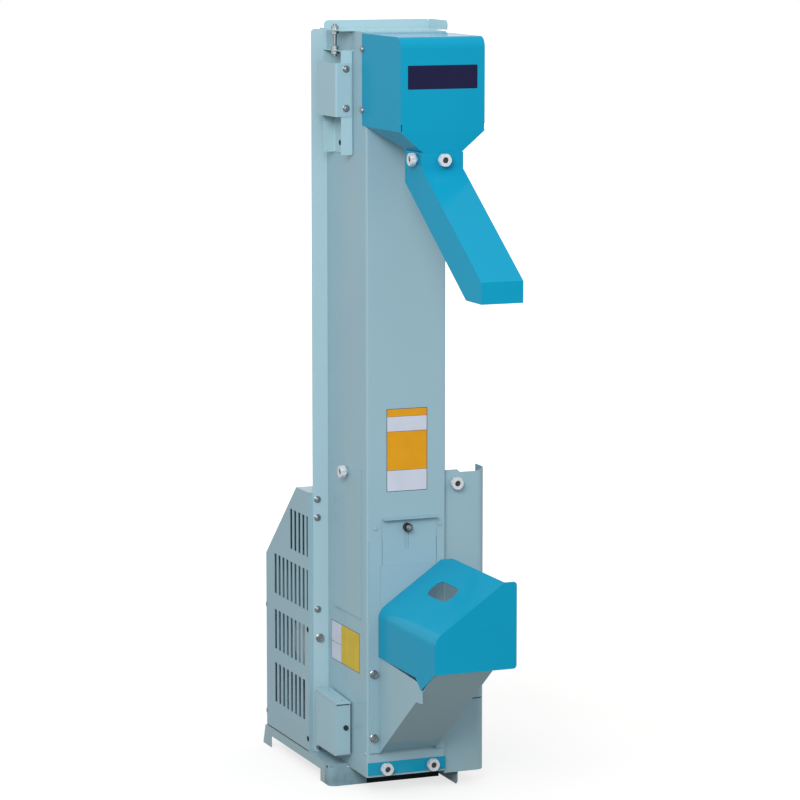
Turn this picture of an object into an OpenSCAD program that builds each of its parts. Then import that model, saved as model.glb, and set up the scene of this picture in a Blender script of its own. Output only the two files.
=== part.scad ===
// Bucket elevator of painted sheet steel, in millimetres.
// A grain elevator that stands on its own base: a belt with buckets runs inside a
// square casing, is fed through the low hopper and throws out through the hood and spout.
// X points to the right of the front, Y to the back and Z up. The sizes below are
// measured from the front face of the casing, on its centre line, at floor level.

/* [Sheet metal] */
// Thickness of the folded sheet
sheet_t = 1.6; // [1:0.1:2.5]
// Gap between sheets that lie on each other without touching
seat_gap = 0.3; // [0.2:0.05:0.6]
// Outer radius of an ordinary fold
fold_r = 4; // [3:0.5:6]

/* [Casing] */
// Outer width of the casing
casing_w = 164; // [140:1:200]
// Depth of the front casing, up to its flanges
casing_d = 210; // [190:1:240]
// Height of the casing's lower end above the floor
casing_bottom = 37; // [24:1:38]
// Height of the casing's upper end
casing_top = 1478; // [1300:1:1600]
// Depth of the rear casing behind the flanges
rear_d = 40; // [30:1:60]
// Reach of a flange beyond the casing wall
flange_w = 32; // [24:1:40]
// Height of the flanges above the casing's upper end
flange_rise = 1; // [0.5:0.5:10]
// Radius of the flanges' corners
flange_corner_r = 7; // [3:1:12]

/* [Base] */
// Height of the base platform's upper face
base_h = 43; // [36:1:60]
// Distance of the left skirt from the centre line
base_left = 123; // [116:1:150]
// Distance of the right skirt from the centre line
base_right = 118; // [116:1:150]
// Front edge of the left skirt, behind the casing's front face
base_front = 96; // [60:1:130]
// Front tip of the right skirt, behind the casing's front face
base_tip = 21; // [20:1:60]
// Rear edge of both skirts
base_back = 488; // [470:1:520]
// Length of each foot along the skirt
foot_l = 48; // [30:1:80]
// Height of the arch between two feet
arch_h = 24; // [10:1:28]

/* [Belt and pulleys] */
// Radius of the head and tail pulleys
pulley_r = 55; // [45:1:58]
// Width of the pulleys
pulley_w = 112; // [80:1:125]
// Diameter of the pulley shafts
shaft_d = 20; // [14:1:25]
// Distance of the shafts behind the casing's front face
shaft_y = 116; // [112:1:125]
// Height of the tail shaft
tail_z = 144; // [142:1:160]
// Distance of the head shaft below the casing's upper end
head_drop = 110; // [108:1:130]
// Thickness of the belt
belt_t = 4; // [3:0.5:6]
// Width of the belt
belt_w = 100; // [70:1:106]
// Number of buckets
bucket_count = 16; // [8:1:20]
// Reach of a bucket from the belt
bucket_reach = 40; // [25:1:42]
// Height of a bucket
bucket_h = 56; // [40:1:70]
// Length of a bucket across the belt
bucket_w = 108; // [80:1:130]
// Wall of a bucket
bucket_t = 2; // [1.5:0.1:3]

/* [Head] */
// Half length of the take-up yoke
yoke_reach = 110; // [106:1:130]
// Front edge of the yoke plate
yoke_front = 61; // [50:1:65]
// Rear edge of the yoke plate
yoke_back = 153; // [150:1:170]
// Height of the yoke's upstands
yoke_rise = 18; // [14:1:30]
// Radius of the upstands' corners
yoke_corner_r = 9; // [4:1:12]
// Thickness of the yoke plate
yoke_t = 2; // [1.6:0.1:3]
// Width of the take-up channels
channel_w = 98; // [80:1:104]
// Depth of the take-up channels
channel_d = 25; // [22:1:30]
// Length of the take-up channels
channel_l = 197; // [160:1:220]
// Distance of the take-up channels below the casing's upper end
channel_drop = 37; // [30:1:50]
// Diameter of the take-up bolts
takeup_d = 8; // [6:1:10]
// Distance of the take-up bolts from the casing wall
takeup_out = 19; // [16:0.5:20]
// Length of the bearing covers
bearing_cover_h = 102; // [90:1:130]
// Distance of the bearing covers' faces from the casing wall
bearing_cover_d = 37; // [34:1:50]

/* [Discharge hood and spout] */
// Distance of the hood's upper face below the casing's upper end
hood_drop = 1; // [0.5:0.5:10]
// Height of the hood's box above its funnel
hood_h = 174; // [150:1:190]
// Reach of the hood in front of the casing
hood_reach = 182; // [150:1:220]
// Overlap of the hood on the casing's sides
hood_lap = 17; // [10:1:30]
// Radius of the hood's fold between top and front
hood_fold_r = 20; // [8:1:30]
// Height of the hood's funnel
funnel_h = 39; // [25:1:60]
// Height of the collar that joins hood and spout
collar_h = 31; // [25:1:50]
// Outer width of the spout
spout_w = 82; // [60:1:100]
// Outer depth of the collar
collar_d = 87; // [70:1:110]
// Fall of the spout from its collar to its mouth
spout_fall = 221; // [150:1:260]
// Height of the spout's front lip above its mouth
spout_lip_h = 40; // [20:1:60]
// Reach of the spout in front of the casing
spout_reach = 462; // [400:1:520]
// Depth of the spout's mouth
spout_mouth_d = 71; // [60:1:100]

/* [Feed shutter] */
// Width of the shutter plate
shutter_w = 112; // [90:1:120]
// Distance of the shutter's middle to the right of the centre line
shutter_x = 5.5; // [0:0.5:8]
// Height of the shutter's upper edge
shutter_top = 545; // [520:1:560]
// Height of the shutter's lower edge, which is the inlet's sill
shutter_bottom = 94; // [90:1:110]
// Depth of the bent handle on the shutter
shutter_lip = 12; // [8:1:20]
// Travel of the shutter
shutter_travel = 40; // [20:1:45]
// Height of the clamp stud
stud_z = 528; // [515:1:530]
// Diameter of the clamp stud
stud_d = 6; // [4:1:8]
// Gap before and behind the shutter plate
slide_gap = 0.5; // [0.3:0.1:1]
// Gap beside the shutter plate and the stud in its slot
side_gap = 1; // [0.5:0.1:2]
// Upper end of the shutter's guide bars
guide_top = 505; // [480:1:512]
// Upper edge of the keeper plate in front of the shutter
keeper_top = 455; // [420:1:470]
// Height of the inlet above its sill
inlet_h = 46; // [30:1:60]

/* [Hopper] */
// Outer width of the hopper
hopper_w = 118; // [112:1:124]
// Height of the hopper's side walls at the casing
hopper_top = 277; // [240:1:290]
// Height of the hopper's front edge
hopper_front_z = 268; // [240:1:280]
// Reach of the hopper in front of the casing
hopper_reach = 226; // [180:1:260]
// Lower end of the hopper side's front edge
hopper_lip_z = 232; // [225:1:245]
// Lower edge of the cover's left skirt
cover_skirt_z = 277; // [270:1:290]
// Left eave of the cover
cover_eave_z = 368; // [330:1:380]
// Ridge of the cover
cover_ridge_z = 467; // [400:1:480]
// Reach of the cover in front of the casing
cover_reach = 294; // [260:1:330]
// Radius of the fold between the cover's roof and left skirt
cover_fold_r = 32; // [10:1:40]
// Distance of the cover's ridge from the centre line
cover_ridge_x = 80; // [60:1:90]
// Right edge of the cover's front plate
cover_right = 105; // [90:1:120]
// Lower edge of the cover's front plate
cover_front_z = 301; // [285:1:315]
// Length of the sight hole in the cover
sight_l = 104; // [60:1:110]
// Width of the sight hole
sight_w = 40; // [25:1:60]
// Distance of the sight hole's middle behind the cover's front
sight_y = 156; // [120:1:200]

/* [Covers on the casing] */
// Lower edge of the inspection cover
inspect_bottom = 347; // [320:1:360]
// Upper edge of the inspection cover
inspect_top = 640; // [560:1:700]
// Front edge of the inspection cover
inspect_front = 30; // [20:1:60]
// Rear edge of the inspection cover
inspect_back = 172; // [150:1:190]
// Depth of the inspection cover's turned edge
inspect_d = 2.5; // [2:0.5:8]
// Height of the clean-out strip's lower edge
clean_bottom = 41; // [38:1:50]
// Height of the clean-out strip
clean_h = 25; // [20:1:40]
// Lower face of the switch box
switch_bottom = 64; // [60:1:90]
// Upper face of the switch box at its front
switch_top = 177; // [150:1:200]
// Front face of the switch box
switch_front = 80; // [60:1:100]
// Rear face of the switch box
switch_back = 191; // [170:1:200]
// Depth of the switch box
switch_d = 34; // [25:1:38]

/* [Drive] */
// Rear face of the motor cover
cover_back = 464; // [440:1:480]
// Height of the motor cover's flat top
cover_top = 568; // [500:1:600]
// Rear end of the motor cover's flat top
cover_flat = 283; // [260:1:320]
// Height of the motor cover's rear edge
cover_rear_z = 404; // [340:1:450]
// Distance of the drive's right face from the centre line
guard_right = 171; // [160:1:190]
// Front face of the belt guard
guard_front = 10; // [6:1:30]
// Upper edge of the belt guard
guard_top = 632; // [570:1:660]
// Height of the joint between the guard's two panels
guard_split = 174; // [150:1:190]
// Depth of the guard's turned right edge
guard_turn = 50; // [30:1:80]
// Radius of the guard's fold
guard_fold_r = 18; // [8:1:24]
// Lower edge of the belt guard
guard_bottom = 29; // [15:1:40]
// Width of a cooling slot
slot_w = 14; // [8:0.5:14]
// Height of a cooling slot
slot_h = 82; // [60:1:90]
// Distance between cooling slots
slot_pitch = 23.5; // [20:0.5:26]
// Height of the motor's shaft above the base platform
motor_rise = 190; // [170:1:220]
// Distance of the motor's shaft behind the rear casing
motor_back = 112; // [95:1:130]
// Radius of the motor's body
motor_r = 62; // [50:1:64]
// Length of the motor's body
motor_l = 180; // [150:1:200]
// Radius of the motor's pulley
drive_r = 32; // [25:1:40]
// Radius of the pulley on the tail shaft
driven_r = 62; // [45:1:65]
// Distance of the V-belt's middle plane from the centre line
v_belt_x = 136; // [130:1:145]
// Width of the motor's foot along its shaft
motor_foot_w = 90; // [60:1:120]
// Spread of the motor's foot across its shaft
motor_foot_d = 100; // [80:1:120]
// Height of the motor's terminal box
terminal_h = 28; // [15:1:40]
// Thickness of the shelf that carries the motor
shelf_t = 3; // [2:0.5:5]

/* [Knobs] */
// Radius of a knob
knob_r = 12.5; // [10:0.5:18]
// Length of a knob
knob_l = 15; // [10:0.5:22]
// Number of finger flutes around a knob
knob_flutes = 6; // [4:1:9]
// Radius of a finger flute
flute_r = 7; // [5:0.5:9]
// Depth of a finger flute
flute_depth = 1.3; // [0.5:0.1:2]
// Radius of the socket that shows the stud
socket_r = 5.5; // [4.5:0.5:7]
// Depth of that socket
socket_depth = 6; // [4:0.5:7]
// Radius of the stud's end
stud_r = 3; // [2:0.5:3.5]

/* [Hidden] */
$fn = 48;

// Colours of the paint and of the bare parts
pale = [0.63, 0.77, 0.82];
bright = [0.12, 0.62, 0.77];
dark_steel = [0.25, 0.27, 0.28];
zinc = [0.75, 0.76, 0.78];
white = [0.93, 0.92, 0.90];
black = [0.10, 0.10, 0.11];

head_z = casing_top - head_drop;
channel_front = shaft_y - channel_w / 2;
channel_back = shaft_y + channel_w / 2;
channel_top = casing_top - channel_drop;
channel_bottom = channel_top - channel_l;
hood_top = casing_top - hood_drop;
hood_bottom = hood_top - hood_h;
collar_top = hood_bottom - funnel_h;
collar_bottom = collar_top - collar_h;
spout_mouth_z = collar_bottom - spout_fall;
wall_x = casing_w / 2;
flange_x = wall_x + flange_w;
flange_top = casing_top + flange_rise;
flange_back = casing_d + 2 * sheet_t;
casing_back = casing_d + rear_d;
motor_z = base_h + motor_rise;
motor_y = casing_back + motor_back;

// The origin stands on the floor in the middle of the whole outline
left_end = -max(base_left, wall_x + bearing_cover_d);
mid_x = (left_end + guard_right) / 2;
mid_y = (base_back - spout_reach) / 2;

module placed() translate([-mid_x, -mid_y, 0]) children();

// A block between two corners
module block(low, high) translate(low) cube(high - low);

// A profile drawn in X and Z, standing in front of y
module along_y(y) translate([0, y, 0]) rotate([90, 0, 0]) children();

// A profile drawn in Y and Z, standing to the right of x
module along_x(x) translate([x, 0, 0]) rotate([90, 0, 90]) children();

// The left unit normal of a run, and the point where two offset runs meet
function left_of(a, b) = let (d = b - a) [-d[1], d[0]] / norm(d);
function mitre(a, b, c, t) =
    let (n1 = left_of(a, b), n2 = left_of(b, c)) b + t * (n1 + n2) / (1 + n1 * n2);
function other_face(p, t) = let (last = len(p) - 1) [
    for (i = [0:last])
        i == 0 ? p[0] + t * left_of(p[0], p[1])
        : i == last ? p[last] + t * left_of(p[last - 1], p[last])
        : mitre(p[i - 1], p[i], p[i + 1], t)
];

// The arc of radius r that rounds the corner b between a and c
function bend(a, b, c, r, steps) =
    let (
        u = (a - b) / norm(a - b),
        v = (c - b) / norm(c - b),
        half = acos(u * v) / 2,
        middle = b + (u + v) / norm(u + v) * r / sin(half),
        from = b + u * r / tan(half) - middle,
        to = b + v * r / tan(half) - middle,
        sweep = 180 - 2 * half
    )
    [for (k = [0:steps])
        middle + (sin((1 - k / steps) * sweep) * from + sin(k / steps * sweep) * to) / sin(sweep)];
function softened(p, r, steps = 6) = let (last = len(p) - 1) [
    for (i = [0:last]) each i == 0 || i == last ? [p[i]] : bend(p[i - 1], p[i], p[i + 1], r, steps)
];

// A sheet folded along a path, which is its face on the right of the way
module folded(path, t, length)
    linear_extrude(length)
        polygon(concat(path, [for (i = [len(path) - 1:-1:0]) other_face(path, t)[i]]));

// A flat panel with softened corners, from an open path whose ends join
module panel(path, r, t)
    linear_extrude(t) polygon(softened(path, r));

// A round knob with finger flutes, and a socket in which its stud ends, its foot at the origin
// and pointing along Z
module knob()
    difference() {
        rotate_extrude()
            polygon([
                [0, 0], [0.5 * knob_r, 0], [0.5 * knob_r, 0.2 * knob_l], [0.9 * knob_r, 0.26 * knob_l],
                [knob_r, 0.4 * knob_l], [knob_r, 0.85 * knob_l], [0.93 * knob_r, knob_l],
                [socket_r + 1, knob_l], [socket_r, knob_l - 1], [socket_r, knob_l - socket_depth],
                [stud_r, knob_l - socket_depth], [stud_r, knob_l - socket_depth / 2],
                [0, knob_l - socket_depth / 2]
            ]);
        for (i = [0:knob_flutes - 1])
            rotate((i + 0.5) * 360 / knob_flutes)
                translate([knob_r + flute_r - flute_depth, 0, -sheet_t])
                    cylinder(r = flute_r, h = knob_l + 2 * sheet_t);
    }
module knob_front(x, y, z) translate([x, y, z]) rotate([90, 0, 0]) knob();
module knob_left(x, y, z) translate([x, y, z]) rotate([0, -90, 0]) knob();

// Casing
function casing_flange() = [
    [wall_x - sheet_t, base_h], [flange_x, base_h], [flange_x, flange_top], [wall_x - sheet_t, flange_top]
];
module casing_flanges(y)
    for (side = [0, 1])
        mirror([side, 0, 0])
            along_y(y + sheet_t)
                panel(casing_flange(), flange_corner_r, sheet_t);

inlet_top = shutter_bottom + inlet_h;
shutter_low_x = shutter_x - shutter_w / 2;
shutter_high_x = shutter_x + shutter_w / 2;
inlet_margin = 8;
throw_margin = 14;
shaft_gap = 0.4;

module front_casing() color(pale) placed()
    difference() {
        union() {
            translate([0, 0, casing_bottom])
                folded(softened([
                    [-wall_x, casing_d + sheet_t], [-wall_x, 0], [wall_x, 0], [wall_x, casing_d + sheet_t]
                ], fold_r), sheet_t, casing_top - casing_bottom);
            casing_flanges(casing_d);
        }
        // Inlet behind the shutter
        block([shutter_low_x + inlet_margin, -1, shutter_bottom],
            [shutter_high_x - inlet_margin, sheet_t + 1, inlet_top]);
        // Throw opening behind the hood
        block([-wall_x + throw_margin, -1, hood_bottom], [wall_x - throw_margin, sheet_t + 1, hood_top - throw_margin]);
        // Inspection opening behind its cover
        block([-wall_x - 1, inspect_front + throw_margin, inspect_bottom + throw_margin],
            [-wall_x + sheet_t + 1, inspect_back - throw_margin, inspect_top - throw_margin]);
        // Clean-out opening behind its strip
        block([-wall_x + throw_margin, -1, clean_bottom + sheet_t],
            [wall_x - throw_margin, sheet_t + 1, clean_bottom + clean_h - sheet_t]);
        // Shaft holes
        for (z = [tail_z, head_z])
            translate([-wall_x - 1, shaft_y, z]) rotate([0, 90, 0])
                cylinder(d = shaft_d + 2 * shaft_gap, h = casing_w + 2);
    }

module rear_casing() color(pale) placed() {
    translate([0, 0, casing_bottom])
        folded(softened([
            [wall_x, casing_d + sheet_t], [wall_x, casing_back], [-wall_x, casing_back], [-wall_x, casing_d + sheet_t]
        ], fold_r), sheet_t, casing_top - casing_bottom);
    casing_flanges(casing_d + sheet_t);
}

module casing_cap() color(pale) placed()
    block([-wall_x, 0, casing_top], [wall_x, casing_back, casing_top + sheet_t]);

module boot_floor() color(pale) placed() {
    inside = wall_x - sheet_t - seat_gap;
    block([-inside, fold_r, casing_bottom], [inside, casing_back - fold_r, casing_bottom + sheet_t]);
}

// Head with its take-up
yoke_z = casing_top + sheet_t;
takeup_x = wall_x + takeup_out;
bearing_h = 64;
bearing_x = wall_x + sheet_t + seat_gap;
bearing_t = 20;

module head_yoke() color(pale) placed()
    difference() {
        union() {
            block([-yoke_reach, yoke_front, yoke_z], [yoke_reach, yoke_back, yoke_z + yoke_t]);
            along_y(yoke_back)
                panel([[-yoke_reach + yoke_corner_r, yoke_z], [-yoke_reach, yoke_z],
                    [-yoke_reach, yoke_z + yoke_rise], [yoke_reach, yoke_z + yoke_rise],
                    [yoke_reach, yoke_z], [yoke_reach - yoke_corner_r, yoke_z]], yoke_corner_r * 0.99, yoke_t);
            along_x(yoke_reach - yoke_t)
                panel([[yoke_back, yoke_z], [yoke_front, yoke_z], [yoke_front, yoke_z + yoke_rise],
                    [yoke_back, yoke_z + yoke_rise]], yoke_corner_r, yoke_t);
        }
        for (side = [-1, 1])
            translate([side * takeup_x, shaft_y, yoke_z - 1])
                cylinder(d = takeup_d + 2 * shaft_gap, h = yoke_t + 2);
    }

module takeup_channel() {
    difference() {
        union() {
            translate([0, 0, channel_bottom])
                folded(softened([
                    [-wall_x - channel_d, channel_front], [-wall_x, channel_front],
                    [-wall_x, channel_back], [-wall_x - channel_d, channel_back]
                ], fold_r), sheet_t, channel_top - channel_bottom);
            block([-wall_x - channel_d, channel_front, channel_top],
                [-wall_x, channel_back, channel_top + sheet_t]);
        }
        translate([-takeup_x, shaft_y, channel_top - 1])
            cylinder(d = takeup_d + 2 * shaft_gap, h = sheet_t + 2);
        translate([-wall_x - sheet_t - 1, shaft_y, head_z]) rotate([0, 90, 0])
            cylinder(d = shaft_d + 2 * shaft_gap, h = sheet_t + 2);
    }
}
module takeup_channel_left() color(pale) placed() takeup_channel();
module takeup_channel_right() color(pale) placed() mirror([1, 0, 0]) takeup_channel();

nut_h = 6.5;
nut_flats = 13;
module nut(z) translate([0, 0, z]) rotate(30) cylinder(d = nut_flats / cos(30), h = nut_h, $fn = 6);
module takeup_bolt()
    translate([-takeup_x, shaft_y, 0]) {
        bolt_low = channel_top - 1.6 * nut_h;
        bolt_high = yoke_z + yoke_t + 1.6 * nut_h;
        translate([0, 0, bolt_low]) cylinder(d = takeup_d, h = bolt_high - bolt_low);
        nut(channel_top - nut_h);
        nut(channel_top + sheet_t);
        nut(yoke_z - nut_h);
        nut(yoke_z + yoke_t);
    }
module takeup_bolt_left() color(zinc) placed() takeup_bolt();
module takeup_bolt_right() color(zinc) placed() mirror([1, 0, 0]) takeup_bolt();

module head_bearing()
    difference() {
        block([-bearing_x - bearing_t, channel_front + fold_r + slide_gap, head_z - bearing_h / 2],
            [-bearing_x, channel_back - fold_r - slide_gap, head_z + bearing_h / 2]);
        translate([-bearing_x - bearing_t - 1, shaft_y, head_z]) rotate([0, 90, 0])
            cylinder(d = shaft_d + 0.1, h = bearing_t + 2);
    }
module head_bearing_left() color(dark_steel) placed() head_bearing();
module head_bearing_right() color(dark_steel) placed() mirror([1, 0, 0]) head_bearing();

module bearing_cover() {
    face = wall_x + bearing_cover_d;
    lap = seat_gap + sheet_t;
    root = wall_x + sheet_t + fold_r;
    translate([0, 0, head_z - bearing_cover_h / 2])
        folded(softened([
            [-root, channel_back + lap], [-face, channel_back + lap],
            [-face, channel_front - lap], [-root, channel_front - lap]
        ], fold_r), sheet_t, bearing_cover_h);
}
module bearing_cover_left() color(pale) placed() bearing_cover();
module bearing_cover_right() color(pale) placed() mirror([1, 0, 0]) bearing_cover();

// Pulleys and the belt with its buckets
shaft_end = bearing_x + bearing_t + 4;
module pulley(r, w) {
    crown = 1;
    rotate([0, 90, 0])
        rotate_extrude()
            polygon([[0, -w / 2], [r - crown, -w / 2], [r, -w / 6], [r, w / 6], [r - crown, w / 2], [0, w / 2]]);
}
module head_pulley() color(dark_steel) placed()
    translate([0, shaft_y, head_z]) {
        pulley(pulley_r, pulley_w);
        translate([-shaft_end, 0, 0]) rotate([0, 90, 0]) cylinder(d = shaft_d, h = 2 * shaft_end);
    }
v_groove_w = 20;
module tail_pulley() color(dark_steel) placed()
    translate([0, shaft_y, tail_z]) {
        pulley(pulley_r, pulley_w);
        translate([-wall_x, 0, 0]) rotate([0, 90, 0])
            cylinder(d = shaft_d, h = wall_x + v_belt_x - v_groove_w / 2 - seat_gap);
    }

loop_r = pulley_r + seat_gap;
run = head_z - tail_z;
half_loop = PI * loop_r;
loop_length = 2 * run + 2 * half_loop;
bucket_pitch = loop_length / bucket_count;
bucket_seat = 0.4;

// Height above the tail shaft and turn of a point at distance s along the belt
function belt_turn(s) =
    s < run ? 0
    : s < run + half_loop ? (s - run) / loop_r * 180 / PI
    : s < 2 * run + half_loop ? 180
    : 180 + (s - 2 * run - half_loop) / loop_r * 180 / PI;
function belt_height(s) =
    s < run ? s : s < run + half_loop ? run : s < 2 * run + half_loop ? 2 * run + half_loop - s : 0;

module bucket_outline(inset)
    polygon([
        [inset, bucket_h + inset], [inset, inset], [0.55 * bucket_reach, inset],
        [bucket_reach - inset, 0.42 * bucket_h], [bucket_reach - inset, bucket_h + inset]
    ]);
module bucket() {
    difference() {
        translate([-bucket_w / 2, 0, 0]) rotate([90, 0, 90])
            linear_extrude(bucket_w) intersection() {
                bucket_outline(0);
                square([bucket_reach, bucket_h]);
            }
        translate([-bucket_w / 2 + bucket_t, 0, 0]) rotate([90, 0, 90])
            linear_extrude(bucket_w - 2 * bucket_t) bucket_outline(bucket_t);
    }
}
module belt_ring(r)
    union() {
        translate([shaft_y, tail_z]) circle(r, $fn = 64);
        translate([shaft_y, head_z]) circle(r, $fn = 64);
        translate([shaft_y - r, tail_z]) square([2 * r, run]);
    }
module bucket_belt() color(black) placed() {
    along_x(-belt_w / 2)
        linear_extrude(belt_w) difference() {
            belt_ring(loop_r + belt_t);
            belt_ring(loop_r);
        }
    for (i = [0:bucket_count - 1]) {
        s = (i + 0.5) * bucket_pitch;
        translate([0, shaft_y, tail_z + belt_height(s)])
            rotate([belt_turn(s), 0, 0])
                translate([0, loop_r + belt_t - bucket_seat, -bucket_h / 2]) bucket();
    }
}

// Discharge hood and spout
hood_x = wall_x + seat_gap + sheet_t;
spout_x = spout_w / 2;
neck_x = spout_x - sheet_t - seat_gap;
collar_back = -hood_reach + collar_d;
neck_front = -hood_reach + sheet_t + seat_gap;
neck_back = collar_back - sheet_t - seat_gap;
hood_front = -hood_reach;
relief_w = 2.5;
relief_h = 13;

module hood_box(inset, open)
    along_x(-hood_x + inset)
        linear_extrude(2 * (hood_x - inset))
            polygon(concat([[hood_lap + open, hood_bottom - open], [hood_lap + open, hood_top - inset]],
                bend([hood_lap, hood_top - inset], [hood_front + inset, hood_top - inset],
                    [hood_front + inset, hood_bottom], hood_fold_r - inset, 10),
                [[hood_front + inset, hood_bottom - open]]));
module funnel(inset, open) {
    slab = 0.5;
    hull() {
        block([-hood_x + inset, hood_front + inset, hood_bottom - slab + open],
            [hood_x - inset, -seat_gap - inset, hood_bottom + slab + open]);
        block([-neck_x + inset, neck_front + inset, collar_top - open],
            [neck_x - inset, neck_back - inset, collar_top + slab - open]);
    }
}
module discharge_hood() color(bright) placed() {
    difference() {
        hood_box(0, 0);
        hood_box(sheet_t, 1);
        // Only the side flaps reach past the casing's front
        block([-wall_x - seat_gap, -seat_gap, hood_bottom - 1],
            [wall_x + seat_gap, hood_lap + 1, hood_top + 1]);
        // Open corners under the side folds
        for (x = [-hood_x - 1, hood_x - sheet_t - 1])
            block([x, hood_front - 1, hood_bottom + 1], [x + sheet_t + 2, hood_front + relief_w, hood_bottom + relief_h]);
    }
    difference() {
        funnel(0, 0);
        funnel(sheet_t, 0.6);
    }
    // Neck that stands inside the spout's collar
    difference() {
        block([-neck_x, neck_front, collar_bottom], [neck_x, neck_back, collar_top + 0.5]);
        block([-neck_x + sheet_t, neck_front + sheet_t, collar_bottom - 1],
            [neck_x - sheet_t, neck_back - sheet_t, collar_top + 1]);
    }
}

spout_slope = (collar_bottom - spout_mouth_z - spout_lip_h) / (spout_reach - hood_reach);
spout_mouth_back = -spout_reach + spout_mouth_d;
collar_heel = spout_mouth_z + (collar_back - spout_mouth_back) * spout_slope;
spout_upper = [
    [-hood_reach, collar_top], [-hood_reach, collar_bottom],
    [-spout_reach, spout_mouth_z + spout_lip_h], [-spout_reach, spout_mouth_z]
];
spout_lower = [
    [spout_mouth_back, spout_mouth_z], [collar_back, collar_heel], [collar_back, collar_top]
];
module spout() color(bright) placed() {
    for (x = [-spout_x, spout_x - sheet_t])
        along_x(x) linear_extrude(sheet_t) polygon(concat(spout_upper, spout_lower));
    along_x(-spout_x) {
        folded(spout_upper, sheet_t, spout_w);
        folded(spout_lower, sheet_t, spout_w);
    }
}

knob_drop = 14;
module spout_knobs() color(white) placed() {
    knob_front(0, -hood_reach - seat_gap, collar_top - knob_drop);
    knob_left(-spout_x - seat_gap, -hood_reach + collar_d / 3, collar_top - knob_drop);
}

// Inspection cover on the left wall
module inspection_cover() color(pale) placed()
    difference() {
        block([-wall_x - inspect_d, inspect_front, inspect_bottom], [-wall_x, inspect_back, inspect_top]);
        block([-wall_x - inspect_d + sheet_t, inspect_front + sheet_t, inspect_bottom + sheet_t],
            [-wall_x + 1, inspect_back - sheet_t, inspect_top - sheet_t]);
    }
module inspection_knob() color(white) placed()
    knob_left(-wall_x - inspect_d - seat_gap, (inspect_front + inspect_back) / 2, inspect_top - knob_r - 2);

// Feed shutter with its guides, keeper and clamp
guide_t = sheet_t + 2 * slide_gap;
guide_bottom = shutter_bottom - 8;
bar_left = shutter_low_x - side_gap;
bar_right = shutter_high_x + side_gap;
shutter_back = -slide_gap;
shutter_front = shutter_back - sheet_t;

module shutter_guides() color(pale) placed() {
    block([-wall_x + fold_r, -guide_t, guide_bottom], [bar_left, 0, guide_top]);
    block([bar_right, -guide_t, guide_bottom], [wall_x - fold_r, 0, guide_top]);
}

keeper_lap = 3.5;
module shutter_keeper() color(pale) placed()
    block([bar_left - keeper_lap, -guide_t - sheet_t, inlet_top],
        [bar_right + keeper_lap, -guide_t, keeper_top]);

slot_reach = stud_d / 2 + side_gap;
module feed_shutter() color(pale) placed()
    difference() {
        along_x(shutter_low_x)
            folded(softened([
                [shutter_front - shutter_lip, shutter_top], [shutter_front, shutter_top],
                [shutter_front, shutter_bottom]
            ], 2), sheet_t, shutter_w);
        translate([0, shutter_front - 1, 0]) rotate([-90, 0, 0])
            linear_extrude(sheet_t + 2) {
                translate([0, -stud_z]) circle(slot_reach);
                translate([0, -stud_z + shutter_travel]) circle(slot_reach);
                translate([-slot_reach, -stud_z]) square([2 * slot_reach, shutter_travel]);
            }
    }

clamp_r = 8.5;
clamp_h = 9;
stud_out = 15;
module shutter_clamp() color(black) placed()
    translate([0, 0, stud_z]) rotate([90, 0, 0]) {
        cylinder(d = stud_d, h = stud_out);
        translate([0, 0, guide_t]) cylinder(r = clamp_r, h = clamp_h);
    }

// Hopper in front of the inlet, with its cover
hopper_x = hopper_w / 2;
hopper_back = -guide_t;
hopper_right_back = hopper_back - sheet_t - seat_gap;
floor_foot = shutter_bottom - sheet_t;
floor_foot_y = -16;
floor_end_y = -cover_reach + sheet_t + seat_gap;
floor_end_z = cover_front_z + sheet_t;
lip_l = 29;
function floor_z(y) =
    floor_foot + (floor_end_z - floor_foot) * (y - floor_foot_y) / (floor_end_y - floor_foot_y);

hopper_side_left = [
    [hopper_back, hopper_top], [-hopper_reach, hopper_front_z], [-hopper_reach, hopper_lip_z],
    [-hopper_reach + lip_l, floor_z(-hopper_reach + lip_l) - 1],
    [floor_foot_y, floor_foot], [hopper_back, floor_foot - 10]
];
hopper_side_right = [
    [hopper_right_back, hopper_top], [-hopper_reach, hopper_front_z],
    [-hopper_reach, floor_z(-hopper_reach)], [floor_foot_y, floor_foot], [hopper_right_back, floor_foot - 10]
];
module inlet_hopper() color(pale) placed() {
    along_x(-hopper_x) linear_extrude(sheet_t) polygon(hopper_side_left);
    along_x(hopper_x - sheet_t) linear_extrude(sheet_t) polygon(hopper_side_right);
    along_x(-hopper_x)
        folded([
            [floor_end_y, floor_end_z], [floor_foot_y, floor_foot], [hopper_back, floor_foot]
        ], sheet_t, hopper_w);
    // Flanges on the guide bars, the right one in front of the keeper plate
    block([-wall_x + fold_r, hopper_back - sheet_t, guide_bottom], [-hopper_x + sheet_t, hopper_back, hopper_top]);
    block([hopper_x - sheet_t, hopper_right_back - sheet_t, guide_bottom],
        [wall_x - fold_r, hopper_right_back, hopper_top]);
    block([bar_right + keeper_lap + seat_gap, hopper_right_back - 0.1, guide_bottom],
        [wall_x - fold_r, hopper_back, hopper_top]);
}

cover_left_x = -hopper_x - seat_gap - sheet_t;
cover_gap = 3;
cover_rear = -guide_t - sheet_t - cover_gap;
cover_slope = atan2(cover_ridge_z - cover_eave_z, cover_ridge_x - cover_left_x);
slope_l = norm([cover_ridge_x - cover_left_x, cover_ridge_z - cover_eave_z]);
cover_l = cover_reach + cover_rear;
tip_y = -hopper_reach;
tip_drop = 19;
tip_start = 28;
cover_corner_r = 7;
// Clipped corner of the roof beside the casing
clip_x = 11;
clip_y = 36;

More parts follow.
